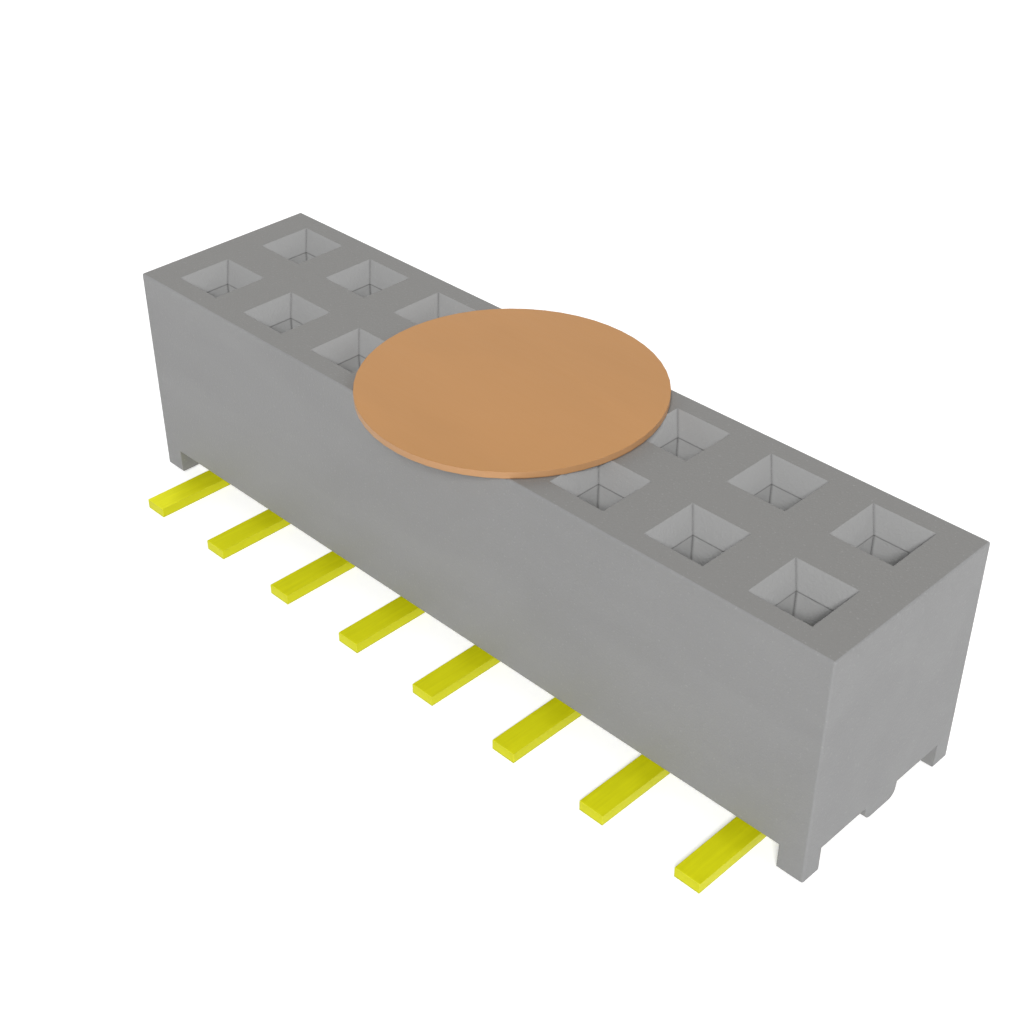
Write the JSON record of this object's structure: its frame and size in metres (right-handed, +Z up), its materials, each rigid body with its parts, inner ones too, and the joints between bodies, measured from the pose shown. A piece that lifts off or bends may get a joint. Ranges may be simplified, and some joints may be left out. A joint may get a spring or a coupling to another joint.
{
  "type": "board to board connector",
  "caption": "Surface mount socket connector for stacking circuit boards: grey moulded body with funnel openings, gold-plated spring contacts with gull-wing tails, and a round pick-up film.",
  "frame": {"origin": "middle of the footprint, at the board surface that the solder tails' undersides rest on", "axes": "+X along the rows of sockets, +Y across the rows, +Z up from the board, the way the mating posts leave"},
  "size_m": [0.0166, 0.0064, 0.0046],
  "materials": {
    "housing": "grey glass-filled high-temperature moulding plastic, fine matt surface",
    "contact": "copper alloy strip with bright yellow gold plating",
    "film": "amber-tan polyimide film with adhesive below"
  },
  "bodies": {
    "root": {"housing": "housing", "pick_up_pad": "film", "front_contact_1": "contact", "front_contact_2": "contact", "front_contact_3": "contact", "front_contact_4": "contact", "front_contact_5": "contact", "front_contact_6": "contact", "front_contact_7": "contact", "front_contact_8": "contact", "rear_contact_1": "contact", "rear_contact_2": "contact", "rear_contact_3": "contact", "rear_contact_4": "contact", "rear_contact_5": "contact", "rear_contact_6": "contact", "rear_contact_7": "contact", "rear_contact_8": "contact"}
  },
  "joints": []
}
